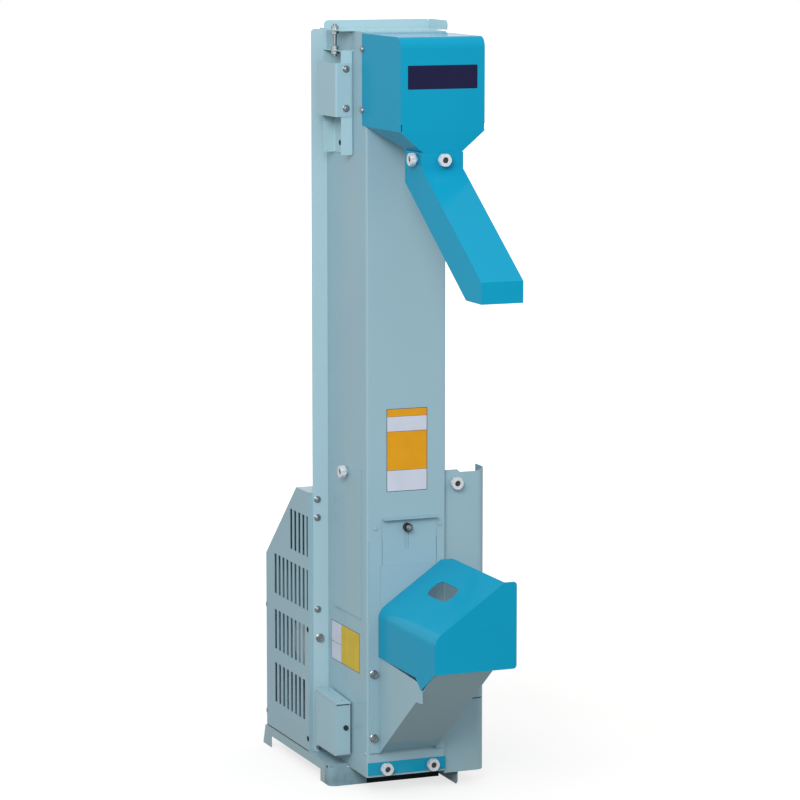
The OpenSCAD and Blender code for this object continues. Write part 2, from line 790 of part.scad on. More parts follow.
module hopper_cover() color(bright) placed()
    difference() {
        union() {
            // Roof and left skirt, with the pointed tip
            difference() {
                along_y(cover_rear)
                    folded(softened([
                        [cover_ridge_x, cover_ridge_z], [cover_left_x, cover_eave_z],
                        [cover_left_x, cover_skirt_z - tip_drop]
                    ], cover_fold_r, 12), sheet_t, cover_l);
                along_x(cover_left_x - 1) linear_extrude(sheet_t + 2)
                    polygon([
                        [0, cover_skirt_z], [tip_y + tip_start, cover_skirt_z],
                        [tip_y, cover_skirt_z - tip_drop], [-cover_reach, cover_front_z],
                        [-cover_reach, 0], [0, 0]
                    ]);
                translate([0, 0, cover_eave_z]) linear_extrude(cover_ridge_z)
                    polygon([
                        [cover_ridge_x - clip_x, cover_rear + 1], [cover_ridge_x + 1, cover_rear + 1],
                        [cover_ridge_x + 1, cover_rear - clip_y]
                    ]);
            }
            // Front plate
            along_y(-cover_reach + sheet_t)
                linear_extrude(sheet_t) polygon(concat(
                    bend([cover_left_x, cover_eave_z], [cover_left_x, cover_front_z], [cover_right, cover_front_z],
                        cover_corner_r, 5),
                    bend([cover_left_x, cover_front_z], [cover_right, cover_front_z], [cover_right, cover_ridge_z],
                        cover_corner_r, 5),
                    bend([cover_right, cover_front_z], [cover_right, cover_ridge_z], [cover_ridge_x, cover_ridge_z],
                        cover_corner_r, 5),
                    [[cover_ridge_x, cover_ridge_z]],
                    bend([cover_ridge_x, cover_ridge_z], [cover_left_x, cover_eave_z], [cover_left_x, cover_front_z],
                        cover_fold_r, 12)
                ));
        }
        // Oblong sight hole, square to the roof
        translate([cover_left_x, -cover_reach + sight_y, cover_eave_z])
            rotate([0, -cover_slope, 0])
                translate([slope_l * 0.57, 0, -10]) linear_extrude(20) {
                    for (s = [-1, 1])
                        translate([0, s * (sight_l - sight_w) / 2]) circle(d = sight_w);
                    square([sight_w, sight_l - sight_w], center = true);
                }
    }

// Clean-out strip at the boot, and the switch box on the left wall
module clean_out_strip() color(bright) placed()
    block([-wall_x + sheet_t, -sheet_t, clean_bottom], [wall_x, 0, clean_bottom + clean_h]);
module clean_out_knobs() color(white) placed()
    for (x = [-0.27, 0.32])
        knob_front(x * casing_w, -sheet_t - seat_gap, clean_bottom + clean_h / 2);

box_gap = 4;
box_right = -wall_x - box_gap;
box_left = -wall_x - switch_d;
lid_fall = 6;
lid_t = 3;
lid_reach = 2;
module switch_box() color(pale) placed() {
    along_x(box_left) linear_extrude(box_right - box_left)
        polygon(softened([
            [switch_back, switch_top - lid_t + 1], [switch_back, switch_bottom], [switch_front, switch_bottom],
            [switch_front, switch_top - lid_fall - lid_t + 1]
        ], 4));
    // Lid that overhangs the box at the front
    along_x(box_left - 1) linear_extrude(box_right - box_left + 1)
        polygon(softened([
            [switch_back, switch_top - lid_t], [switch_back, switch_top],
            [switch_front - lid_reach, switch_top - lid_fall],
            [switch_front - lid_reach, switch_top - lid_fall - lid_t]
        ], 1));
    // Stand-offs that hold the box clear of the wall
    for (y = [switch_front + 20, switch_back - 20])
        translate([box_right - 1, y, (switch_bottom + switch_top) / 2]) rotate([0, 90, 0])
            cylinder(r = 8, h = box_gap + 1);
}
module switch_button() color(black) placed()
    translate([box_right - 10, switch_front - seat_gap, (switch_bottom + switch_top) / 2])
        rotate([90, 0, 0]) cylinder(r = 5, h = 3);

// Motor behind the casing, with its covers
cover_side = [
    [flange_back, base_h], [flange_back, cover_top], [cover_flat, cover_top],
    [cover_back, cover_rear_z], [cover_back, base_h]
];
// Distance of each row's upper end below the cover's top, and its first and last column
slot_rows = [[49, 0, 4], [157, 0, 8], [272, 1, 8], [383, 1, 8]];
module cooling_slots()
    intersection() {
        for (row = slot_rows)
            for (i = [row[1]:row[2]])
                translate([flange_back + i * slot_pitch, cover_top - row[0] - slot_h])
                    square([slot_w, slot_h]);
        translate([flange_back + fold_r, base_h]) square([cover_back, cover_top]);
    }

module motor_cover_left() color(pale) placed() {
    along_x(-base_left)
        linear_extrude(sheet_t) difference() {
            polygon(cover_side);
            cooling_slots();
        }
    // Front edge turned in behind the casing's flange
    block([-base_left, flange_back, base_h], [-wall_x - 5, flange_back + sheet_t, cover_top]);
}
module motor_cover_right() color(pale) placed()
    along_x(guard_right - sheet_t) linear_extrude(sheet_t) polygon(concat([
        [guard_front + guard_turn + seat_gap, base_h], [guard_front + guard_turn + seat_gap, cover_top]
    ], [cover_side[2], cover_side[3], cover_side[4]]));
module motor_cover_back() color(pale) placed()
    difference() {
        along_x(-base_left + sheet_t + seat_gap)
            folded([
                [cover_back, base_h], [cover_back, cover_rear_z], [cover_flat, cover_top],
                [flange_back + sheet_t + seat_gap, cover_top]
            ], sheet_t, base_left + guard_right - 2 * (sheet_t + seat_gap));
        // Cut-out round the rear casing
        block([-wall_x - seat_gap, casing_d, cover_top - 2 * sheet_t],
            [wall_x + seat_gap, casing_back + seat_gap, cover_top + sheet_t]);
    }

shelf_z = motor_z - motor_r - 12;
shelf_leg = 95;
shelf_reach = motor_foot_d / 2 + 20;
module motor_shelf() color(dark_steel) placed()
    along_x(-wall_x)
        folded([
            [casing_back + seat_gap, shelf_z - shelf_leg], [casing_back + seat_gap, shelf_z],
            [motor_y + shelf_reach, shelf_z]
        ], -shelf_t, casing_w);

motor_x = 10;
module motor() color(zinc) placed()
    translate([motor_x, motor_y, motor_z]) {
        rotate([0, 90, 0]) translate([0, 0, -motor_l / 2])
            rotate_extrude() polygon([
                [0, 0], [motor_r - 8, 0], [motor_r, 10], [motor_r, 35], [motor_r - 4, 38],
                [motor_r - 4, motor_l - 38], [motor_r, motor_l - 35], [motor_r, motor_l - 10],
                [motor_r - 10, motor_l], [0, motor_l]
            ]);
        block([-motor_foot_w / 2, -motor_foot_d / 2, shelf_z - motor_z + seat_gap],
            [motor_foot_w / 2, motor_foot_d / 2, -motor_r + 12]);
        block([-motor_foot_w / 3, -motor_foot_d / 4, motor_r - 8],
            [motor_foot_w / 3, motor_foot_d / 4, motor_r - 8 + terminal_h]);
        rotate([0, 90, 0]) cylinder(d = shaft_d - 2, h = v_belt_x - motor_x - v_groove_w / 2 - seat_gap);
    }

module v_pulley(r)
    rotate([0, 90, 0]) rotate_extrude() polygon([
        [0, -v_groove_w / 2], [r, -v_groove_w / 2], [r, -6], [r - 8, -3.5], [r - 8, 3.5], [r, 6],
        [r, v_groove_w / 2], [0, v_groove_w / 2]
    ]);
module motor_pulley() color(dark_steel) placed() translate([v_belt_x, motor_y, motor_z]) v_pulley(drive_r);
module tail_v_pulley() color(dark_steel) placed() translate([v_belt_x, shaft_y, tail_z]) v_pulley(driven_r);

module v_loop(proud)
    hull() {
        translate([shaft_y, tail_z]) circle(driven_r + proud);
        translate([motor_y, motor_z]) circle(drive_r + proud);
    }
module v_belt() color(black) placed()
    along_x(v_belt_x - 3.2) linear_extrude(6.4) difference() {
        v_loop(1);
        v_loop(-7);
    }

// Belt guard on the right of the casing
guard_left = wall_x + seat_gap;
recess_d = 5.5;
recess_left = 28;
recess_ramp = 6;
guard_relief = 1.6;
module guard_panel(left, low, high)
    translate([0, 0, low])
        folded(softened([
            [left, guard_front], [guard_right, guard_front], [guard_right, guard_front + guard_turn]
        ], guard_fold_r, 10), sheet_t, high - low);
module belt_guard_upper() color(pale) placed()
    difference() {
        guard_panel(guard_left, guard_split + 1, guard_top);
        // Recess in the upper edge between the knob and the fold
        along_y(guard_front + guard_fold_r) linear_extrude(guard_fold_r + 1)
            polygon([
                [guard_left + recess_left, guard_top + 1], [guard_left + recess_left, guard_top],
                [guard_left + recess_left + recess_ramp, guard_top - recess_d],
                [guard_right - guard_fold_r, guard_top - recess_d],
                [guard_right + 1, guard_top], [guard_right + 1, guard_top + 1]
            ]);
    }
module belt_guard_lower() color(pale) placed()
    guard_panel(guard_left + guard_relief, guard_bottom, guard_split - 1);
module belt_guard_knob() color(white) placed()
    knob_front(guard_left + 24, guard_front - seat_gap, guard_top - 26);

// Base: a platform round the casing, on skirts whose ends are the feet
skirt_top = base_h - sheet_t - seat_gap;
skirt_fold_r = 14;
heel = 14;
front_skirt_end = base_right - 10;
front_skirt_start = base_front + 30;
module base_platform() color(pale) placed()
    difference() {
        union() {
            block([-base_left, base_front, base_h - sheet_t], [base_right, base_back - foot_l / 2, base_h]);
            // Wider under the drive's cover
            block([base_right - 1, flange_back, base_h - sheet_t], [guard_right, base_back - foot_l / 2, base_h]);
        }
        block([-wall_x - seat_gap, base_front - 1, base_h - sheet_t - 1],
            [wall_x + seat_gap, casing_back + seat_gap, base_h + 1]);
    }
function skirt(front, top, chamfer, foot) = [
    [front, top], [front, chamfer], [front + chamfer, 0], [front + foot, 0],
    [front + foot, arch_h], [base_back - foot_l, arch_h], [base_back - foot_l, 0],
    [base_back, 0], [base_back - heel, top]
];
module base_skirt_left() color(pale) placed()
    along_x(-base_left) linear_extrude(sheet_t)
        polygon(skirt(front_skirt_start, skirt_top, 0.01, foot_l / 2));
module base_skirt_right() color(pale) placed()
    along_x(base_right - sheet_t) linear_extrude(sheet_t)
        polygon(skirt(base_tip, skirt_top, 7, base_front + foot_l));
module base_skirt_front() color(pale) placed()
    difference() {
        folded(softened([
            [-base_left, front_skirt_start - seat_gap], [-base_left, base_front], [front_skirt_end, base_front]
        ], skirt_fold_r), sheet_t, skirt_top);
        // Lower behind the casing, which stands on it
        block([-wall_x - fold_r, base_front - 1, casing_bottom - seat_gap],
            [base_right, base_front + sheet_t + 1, skirt_top + 1]);
    }

front_casing();
rear_casing();
casing_cap();
boot_floor();
head_yoke();
takeup_channel_left();
takeup_channel_right();
takeup_bolt_left();
takeup_bolt_right();
head_bearing_left();
head_bearing_right();
bearing_cover_left();
bearing_cover_right();
head_pulley();
tail_pulley();
bucket_belt();
discharge_hood();
spout();
spout_knobs();
inspection_cover();
inspection_knob();
shutter_guides();
shutter_keeper();
feed_shutter();
shutter_clamp();
inlet_hopper();
hopper_cover();
clean_out_strip();
clean_out_knobs();
switch_box();
switch_button();
motor_cover_left();
motor_cover_right();
motor_cover_back();
motor_shelf();
motor();
motor_pulley();
tail_v_pulley();
v_belt();
belt_guard_upper();
belt_guard_lower();
belt_guard_knob();
base_platform();
base_skirt_left();
base_skirt_right();
base_skirt_front();
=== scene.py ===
"""Bucket elevator of painted sheet steel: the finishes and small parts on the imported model."""
import math

import bmesh
import bpy
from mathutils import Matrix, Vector


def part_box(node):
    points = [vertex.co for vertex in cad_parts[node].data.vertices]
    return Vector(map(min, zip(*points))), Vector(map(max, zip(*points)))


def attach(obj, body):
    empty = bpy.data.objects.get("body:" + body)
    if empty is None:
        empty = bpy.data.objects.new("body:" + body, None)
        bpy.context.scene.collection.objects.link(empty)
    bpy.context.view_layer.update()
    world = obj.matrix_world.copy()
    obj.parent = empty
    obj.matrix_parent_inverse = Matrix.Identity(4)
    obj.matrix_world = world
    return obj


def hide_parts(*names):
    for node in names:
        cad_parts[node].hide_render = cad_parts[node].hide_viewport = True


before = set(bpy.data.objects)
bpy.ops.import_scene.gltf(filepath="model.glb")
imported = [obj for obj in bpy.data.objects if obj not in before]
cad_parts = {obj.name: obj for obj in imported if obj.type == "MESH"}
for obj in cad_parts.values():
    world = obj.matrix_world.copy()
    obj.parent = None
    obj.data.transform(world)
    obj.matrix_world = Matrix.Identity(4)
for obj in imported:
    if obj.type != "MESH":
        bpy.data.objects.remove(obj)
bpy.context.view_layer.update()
scene = bpy.context.scene


# Camera: a long lens in front of the machine and to its left, a little above the middle of
# its height and without shift.
cap_low, cap_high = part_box("casing_cap")
centre_x = (cap_low.x + cap_high.x) / 2
front_y = cap_low.y


def at(x, y, z):
    """A place in millimetres from the casing's centre line, its front face and the floor."""
    return Vector((centre_x + x / 1000, front_y + y / 1000, z / 1000))


azimuth = math.radians(-21.732)
elevation = math.radians(8.357)
camera_distance = 6.67126
look_at = at(-13.1, 0, 775.96)
sight = Vector((-math.sin(azimuth) * math.cos(elevation),
                math.cos(azimuth) * math.cos(elevation),
                -math.sin(elevation)))
camera_data = bpy.data.cameras.new("camera")
camera_data.lens = 156.35
camera_data.sensor_width = 36
camera_data.clip_end = 120
camera = bpy.data.objects.new("camera", camera_data)
camera.location = look_at - sight * camera_distance
camera.rotation_euler = sight.to_track_quat("-Z", "Y").to_euler()
scene.collection.objects.link(camera)
scene.camera = camera
scene.view_settings.view_transform = "Standard"


# Studio: a white room with two large soft lamps and a matt floor. The sky looks whiter than
# the light that it gives, and the floor glows a little less round the machine and in
# reflections, so that its shadow stays and the painted sides keep their colour.
def linear(colour):
    """An sRGB hex colour as the linear values that the shaders take."""
    parts = [int(colour[i:i + 2], 16) / 255 for i in (1, 3, 5)]
    return [c / 12.92 if c <= 0.04045 else ((c + 0.055) / 1.055) ** 2.4 for c in parts] + [1.0]


def add_node(tree, kind, inputs=None, **settings):
    """Adds a node with its settings; an input is a value, or the socket that it is linked to."""
    node = tree.nodes.new(kind)
    for name, value in settings.items():
        setattr(node, name, value)
    for key, value in (inputs or {}).items():
        if isinstance(value, bpy.types.NodeSocket):
            tree.links.new(value, node.inputs[key])
        else:
            node.inputs[key].default_value = value
    return node


def seen_by_eye(tree, in_gloss=1.0):
    """1 for rays from the camera, this much for reflected and refracted ones, 0 for the rest."""
    path = add_node(tree, "ShaderNodeLightPath")
    either = add_node(tree, "ShaderNodeMath",
                      {0: path.outputs["Is Glossy Ray"], 1: path.outputs["Is Transmission Ray"]},
                      operation="MAXIMUM")
    mirrored = add_node(tree, "ShaderNodeMath", {0: either.outputs[0], 1: in_gloss},
                        operation="MULTIPLY")
    return add_node(tree, "ShaderNodeMath",
                    {0: mirrored.outputs[0], 1: path.outputs["Is Camera Ray"]},
                    operation="MAXIMUM").outputs[0]


white = linear("#ffffff")
sky_given, sky_shown = 0.77, 1.0
world = bpy.data.worlds.new("studio")
scene.world = world
world.use_nodes = True
sky = world.node_tree
sky.nodes.clear()
sky_light = add_node(sky, "ShaderNodeBackground", {"Color": white, "Strength": sky_given})
sky_seen = add_node(sky, "ShaderNodeBackground", {"Color": white, "Strength": sky_shown})
sky_mix = add_node(sky, "ShaderNodeMixShader",
                   {0: seen_by_eye(sky), 1: sky_light.outputs[0], 2: sky_seen.outputs[0]})
add_node(sky, "ShaderNodeOutputWorld", {"Surface": sky_mix.outputs[0]})

glow_in_gloss = 0.3
glow_near, near_reach = 0.72, 0.8
glow_far, far_reach = 1.0, 3.5
floor_paint = bpy.data.materials.new("studio_floor")
floor_paint.use_nodes = True
matt = floor_paint.node_tree
matt.nodes.clear()
matt_base = add_node(matt, "ShaderNodeBsdfDiffuse", {"Color": linear("#9a9a98")})
matt_place = add_node(matt, "ShaderNodeTexCoord").outputs["Object"]
matt_reach = add_node(matt, "ShaderNodeVectorMath", {0: matt_place}, operation="LENGTH")
matt_level = add_node(matt, "ShaderNodeMapRange",
                      {"Value": matt_reach.outputs["Value"], "From Min": near_reach,
                       "From Max": far_reach, "To Min": glow_near, "To Max": glow_far})
matt_seen = add_node(matt, "ShaderNodeMath",
                     {0: seen_by_eye(matt, glow_in_gloss), 1: matt_level.outputs[0]},
                     operation="MULTIPLY")
matt_glow = add_node(matt, "ShaderNodeEmission", {"Color": white, "Strength": matt_seen.outputs[0]})
matt_sum = add_node(matt, "ShaderNodeAddShader", {0: matt_base.outputs[0], 1: matt_glow.outputs[0]})
add_node(matt, "ShaderNodeOutputMaterial", {"Surface": matt_sum.outputs[0]})

floor_half, floor_z = 40, -0.0004
floor_mesh = bpy.data.meshes.new("studio_floor")
floor_mesh.from_pydata([(-floor_half, -floor_half, floor_z), (floor_half, -floor_half, floor_z),
                        (floor_half, floor_half, floor_z), (-floor_half, floor_half, floor_z)],
                       [], [(0, 1, 2, 3)])
floor_mesh.materials.append(floor_paint)
studio_floor = bpy.data.objects.new("studio_floor", floor_mesh)
scene.collection.objects.link(studio_floor)

lamp_aim = Vector((0, 0, 0.9))
for name, place, width, watts in (("key_lamp", (-2.3, -4.4, 3.0), 1.8, 72),
                                  ("side_lamp", (-2.1, -2.5, 2.55), 1.4, 38)):
    lamp_data = bpy.data.lights.new(name, "AREA")
    lamp_data.shape = "DISK"
    lamp_data.size = width
    lamp_data.energy = watts
    lamp = bpy.data.objects.new(name, lamp_data)
    lamp.location = place
    lamp.rotation_euler = (lamp_aim - Vector(place)).to_track_quat("-Z", "Y").to_euler()
    scene.collection.objects.link(lamp)


# Base: skirts folded from sheet steel under a platform, welded, sprayed with enamel and
# baked. Where the front skirt stands under the casing, its shadow is painted near black.
def new_finish(name):
    """A material with its shader, as (material, tree, shader)."""
    material = bpy.data.materials.new(name)
    material.use_nodes = True
    tree = material.node_tree
    tree.nodes.clear()
    shader = add_node(tree, "ShaderNodeBsdfPrincipled")
    add_node(tree, "ShaderNodeOutputMaterial", {"Surface": shader.outputs[0]})
    return material, tree, shader


def mottle(tree, lump_mm, detail=2.0):
    """A soft noise from 0 to 1 whose lumps are about this large."""
    place = add_node(tree, "ShaderNodeTexCoord").outputs["Object"]
    return add_node(tree, "ShaderNodeTexNoise",
                    {"Vector": place, "Scale": 1000 / lump_mm, "Detail": detail}).outputs["Fac"]


def uneven(tree, low, high, lump_mm, detail=2.0):
    """A value that wanders between two numbers in lumps of about this size."""
    hollow, crest = 0.3, 0.7
    return add_node(tree, "ShaderNodeMapRange",
                    {"Value": mottle(tree, lump_mm, detail), "From Min": hollow,
                     "From Max": crest, "To Min": low, "To Max": high}).outputs[0]


def wandering_colour(tree, first, second, lump_mm, detail=2.0):
    """A colour that wanders between two sRGB hex colours in lumps of about this size."""
    return add_node(tree, "ShaderNodeMix",
                    {"Factor": uneven(tree, 0, 1, lump_mm, detail),
                     6: linear(first), 7: linear(second)}, data_type="RGBA").outputs[2]


def stove_enamel(name, colour, shade, dust, rough, gleam=0.14, painted_zone=None):
    """Sprayed and baked enamel: its colour, its darker tone, and the dust on its foot.

    A zone of painted light or shade is its colour, how many millimetres from the casing's
    centre line it starts, and ABSOLUTE for both sides or MULTIPLY for the left one alone.
    """
    tone_mm, dust_mm, gloss_mm, peel_mm, buckle_mm = 260, 35, 90, 3.0, 170
    peel_height, buckle_height = 0.0002, 0.004
    material, tree, shader = new_finish(name)
    paint = wandering_colour(tree, colour, shade, tone_mm)
    here = add_node(tree, "ShaderNodeTexCoord").outputs["Object"]
    place = add_node(tree, "ShaderNodeSeparateXYZ", {0: here})
    if painted_zone:
        zone_colour, start_mm, sides = painted_zone
        across = add_node(tree, "ShaderNodeMath", {0: place.outputs["X"], 1: centre_x},
                          operation="SUBTRACT")
        outwards = add_node(tree, "ShaderNodeMath", {0: across.outputs[0], 1: -1.0},
                            operation=sides)
        beyond = add_node(tree, "ShaderNodeMath", {0: outwards.outputs[0], 1: start_mm / 1000},
                          operation="GREATER_THAN")
        paint = add_node(tree, "ShaderNodeMix",
                         {"Factor": beyond.outputs[0], 6: paint, 7: linear(zone_colour)},
                         data_type="RGBA").outputs[2]
    dust_reach = 0.09
    low_down = add_node(tree, "ShaderNodeMapRange",
                        {"Value": place.outputs["Z"], "From Min": 0.0, "From Max": dust_reach,
                         "To Min": 1.0, "To Max": 0.0})
    amount = add_node(tree, "ShaderNodeMath",
                      {0: low_down.outputs[0], 1: uneven(tree, 0.0, 0.5, dust_mm, detail=5.0)},
                      operation="MULTIPLY")
    dusty = add_node(tree, "ShaderNodeMix", {"Factor": amount.outputs[0], 6: paint, 7: linear(dust)},
                     data_type="RGBA")
    tree.links.new(dusty.outputs[2], shader.inputs["Base Color"])
    tree.links.new(uneven(tree, rough - 0.03, rough + 0.05, gloss_mm, detail=3.0),
                   shader.inputs["Roughness"])
    peel = add_node(tree, "ShaderNodeBump",
                    {"Height": mottle(tree, peel_mm, detail=1.0), "Strength": 0.10,
                     "Distance": peel_height})
    buckle = add_node(tree, "ShaderNodeBump",
                      {"Height": mottle(tree, buckle_mm, detail=0.0), "Strength": 0.12,
                       "Distance": buckle_height, "Normal": peel.outputs[0]})
    tree.links.new(buckle.outputs[0], shader.inputs["Normal"])
    shader.inputs["IOR"].default_value = 1.45
    shader.inputs["Specular IOR Level"].default_value = gleam
    return material


def dress(material, *nodes):
    """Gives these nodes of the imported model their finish."""
    for node in nodes:
        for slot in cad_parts[node].material_slots:
            slot.material = material


# Stove enamel in pale blue-grey: smooth, with a quiet gloss, a faint orange peel, a slight
# buckle in the broad panels, and dust that dulls it near the floor
floor_dust = "#a9aaa2"
pale_enamel = stove_enamel("pale_stove_enamel", "#9bbcc8", "#98b9c6", floor_dust, 0.10)
# Painted shadow: the front skirt is near black and duller where it stands in the casing's
# shadow. Its left end, out of that shadow, is pale.
painted_shadow_edge_mm = 46
skirt_painted_shadow_enamel = stove_enamel("skirt_enamel_painted_shadow", "#16262c", "#122026", "#1c2d33", 0.30,
                             painted_zone=("#94b5c1", painted_shadow_edge_mm, "MULTIPLY"))
dress(pale_enamel, "base_platform", "base_skirt_left", "base_skirt_right")
dress(skirt_painted_shadow_enamel, "base_skirt_front")


# Casing: a front and a rear half of folded sheet, screwed together through flanges at their
# sides, with a top plate, a boot floor, and a cover over the inspection opening on the left.
wall_mm = (centre_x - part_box("takeup_channel_left")[1].x) * 1000
past_wall_mm = 0.6
# The same enamel with painted light, a tone lighter on the flanges than on the side walls
casing_painted_light_enamel = stove_enamel("casing_enamel_painted_light", "#9bbcc8", "#98b9c6", floor_dust, 0.10,
                             painted_zone=("#b0cfd9", wall_mm + past_wall_mm, "ABSOLUTE"))
dress(casing_painted_light_enamel, "front_casing", "rear_casing")
dress(pale_enamel, "casing_cap", "boot_floor", "inspection_cover")


# Inlet: a plate that slides in two guides under a keeper and shuts the feed, and a hopper
# folded from one sheet, screwed to the casing below it. All in the pale enamel.
dress(pale_enamel, "shutter_guides", "shutter_keeper", "feed_shutter", "inlet_hopper")


# Head: a folded yoke over the top plate carries the take-up bolts, and channels at the
# sides guide the head shaft's bearings, each under a small cover.

# Lighter copies of the enamel with painted light: the yoke and channels are painted the
# lightest, the small covers a little less
head_painted_light_enamel = stove_enamel("head_enamel_painted_light", "#acced8", "#a9cbd5", floor_dust, 0.10)
cover_painted_light_enamel = stove_enamel("cover_enamel_painted_light", "#a3c4d0", "#a0c1cd", floor_dust, 0.10)
dress(head_painted_light_enamel, "head_yoke", "takeup_channel_left", "takeup_channel_right")
dress(cover_painted_light_enamel, "bearing_cover_left", "bearing_cover_right")


# Hood, spout, hopper cover and clean-out strip: folded sheet that comes off without tools,
# marked by its own colour.

# Stove enamel in bright blue: full and even, with so weak a gloss that the colour stays deep
bright_enamel = stove_enamel("bright_stove_enamel", "#139cc1", "#1098be", "#5c9aa6", 0.16,
                             gleam=0.07)
dress(bright_enamel, "discharge_hood", "spout", "hopper_cover", "clean_out_strip")


# Drive: the motor stands on a shelf behind the casing under a louvred cover, and its belt
# runs down the right side behind a guard in two panels.

# Satin enamel in pale grey: it shows as a light shape through the slots
motor_enamel = stove_enamel("motor_satin_enamel", "#dde4e6", "#d3dbde", "#b5b4ae", 0.42)
# Cast iron, turned and oiled: dark metal with a broken sheen
iron, iron_tree, iron_shader = new_finish("oiled_cast_iron")
iron_shader.inputs["Metallic"].default_value = 0.85
iron_tree.links.new(wandering_colour(iron_tree, "#3d4144", "#52575a", 9, detail=4.0),
                    iron_shader.inputs["Base Color"])
iron_tree.links.new(uneven(iron_tree, 0.38, 0.55, 4, detail=3.0),
                    iron_shader.inputs["Roughness"])
dress(motor_enamel, "motor")
dress(iron, "motor_shelf", "motor_pulley", "tail_v_pulley")
dress(pale_enamel, "motor_cover_left", "motor_cover_right", "motor_cover_back",
      "belt_guard_upper", "belt_guard_lower")


# Belts, pulleys and bearings: the bucket belt runs over two iron pulleys inside the casing,
# the upper one on bearings that the take-up bolts lift.

# Rubber with a cloth back: matt black, with the ribs of the cloth as fine lines
rubber, rubber_tree, rubber_shader = new_finish("cloth_backed_rubber")
rubber_tree.links.new(wandering_colour(rubber_tree, "#17181a", "#232426", 22, detail=4.0),
                      rubber_shader.inputs["Base Color"])
rubber_shader.inputs["Roughness"].default_value = 0.62
rib_mm = 3.95
ribs = add_node(rubber_tree, "ShaderNodeTexWave",
                {"Vector": add_node(rubber_tree, "ShaderNodeTexCoord").outputs["Object"],
                 "Scale": 2 * math.pi / (20 * rib_mm / 1000)}, bands_direction="Z")
rib_bump = add_node(rubber_tree, "ShaderNodeBump",
                    {"Height": ribs.outputs["Fac"], "Strength": 0.3, "Distance": 0.0003})
rubber_tree.links.new(rib_bump.outputs[0], rubber_shader.inputs["Normal"])
dress(rubber, "bucket_belt", "v_belt")
dress(iron, "head_bearing_left", "head_bearing_right", "head_pulley", "tail_pulley")


# Pan-head screws: pressed steel on a small washer, each driven home at its own angle. They
# hold the motor cover, the left bearing cover and the hood.

# Bright zinc plate: cool metal, slightly milky, with soft reflections
zinc, zinc_tree, zinc_shader = new_finish("bright_zinc_plate")
zinc_shader.inputs["Metallic"].default_value = 1.0
zinc_tree.links.new(wandering_colour(zinc_tree, "#8b8f94", "#a9adb1", 3, detail=3.0),
                    zinc_shader.inputs["Base Color"])
zinc_tree.links.new(uneven(zinc_tree, 0.22, 0.38, 2), zinc_shader.inputs["Roughness"])


def turned(profile, sides, waist=None):
    """A mesh turned from (radius, height) pairs in millimetres; waist(angle) scales the radius."""
    mesh = bmesh.new()
    rings = []
    for radius, height in profile:
        ring = []
        for i in range(sides):
            angle = 2 * math.pi * i / sides
            r = radius * (waist(angle) if waist else 1) / 1000
            ring.append(mesh.verts.new((r * math.cos(angle), r * math.sin(angle), height / 1000)))
        rings.append(ring)
    for low, high in zip(rings, rings[1:]):
        for i in range(sides):
            mesh.faces.new((low[i], low[(i + 1) % sides], high[(i + 1) % sides], high[i]))
    mesh.faces.new(list(reversed(rings[0])))
    mesh.faces.new(rings[-1])
    return mesh


def pattern(name, *parts):
    """Joins turned parts into one pattern object, which is copied and then deleted."""
    data = bpy.data.meshes.new(name)
    whole = bmesh.new()
    for part in parts:
        step = bpy.data.meshes.new("step")
        part.to_mesh(step)
        part.free()
        whole.from_mesh(step)
        bpy.data.meshes.remove(step)
    whole.to_mesh(data)
    whole.free()
    return bpy.data.objects.new(name, data)


def fastener_tree():
    """Copies a pattern onto points, its Z axis along each point's facing, turned at random."""
    tree = bpy.data.node_groups.new("fasteners_on_points", "GeometryNodeTree")
    for label, kind in (("Points", "NodeSocketGeometry"), ("Pattern", "NodeSocketObject"),
                        ("Scale", "NodeSocketFloat"), ("Spin", "NodeSocketFloat"),
                        ("Seed", "NodeSocketInt"), ("Finish", "NodeSocketMaterial")):
        tree.interface.new_socket(label, in_out="INPUT", socket_type=kind)
    tree.interface.new_socket("Mesh", in_out="OUTPUT", socket_type="NodeSocketGeometry")
    given = add_node(tree, "NodeGroupInput")
    shape = add_node(tree, "GeometryNodeObjectInfo", {"Object": given.outputs["Pattern"]})
    facing = add_node(tree, "GeometryNodeInputNamedAttribute", {"Name": "facing"},
                      data_type="FLOAT_VECTOR")
    stand = add_node(tree, "FunctionNodeAlignRotationToVector", {"Vector": facing.outputs[0]},
                     axis="Z")
    chance = add_node(tree, "FunctionNodeRandomValue", {"Seed": given.outputs["Seed"]},
                      data_type="FLOAT")
    angle = add_node(tree, "ShaderNodeMath", {0: chance.outputs[1], 1: given.outputs["Spin"]},
                     operation="MULTIPLY")
    twist = add_node(tree, "FunctionNodeAxisAngleToRotation",
                     {"Axis": (0, 0, 1), "Angle": angle.outputs[0]})
    turn = add_node(tree, "FunctionNodeRotateRotation",
                    {"Rotation": stand.outputs[0], "Rotate By": twist.outputs[0]},
                    rotation_space="LOCAL")
    copies = add_node(tree, "GeometryNodeInstanceOnPoints",
                      {"Points": given.outputs["Points"], "Instance": shape.outputs["Geometry"],
                       "Rotation": turn.outputs[0], "Scale": given.outputs["Scale"]})
    real = add_node(tree, "GeometryNodeRealizeInstances", {"Geometry": copies.outputs[0]})
    painted = add_node(tree, "GeometryNodeSetMaterial",
                       {"Geometry": real.outputs[0], "Material": given.outputs["Finish"]})
    add_node(tree, "NodeGroupOutput", {"Mesh": painted.outputs[0]})
    return tree


on_points = fastener_tree()
full_turn = 6.283


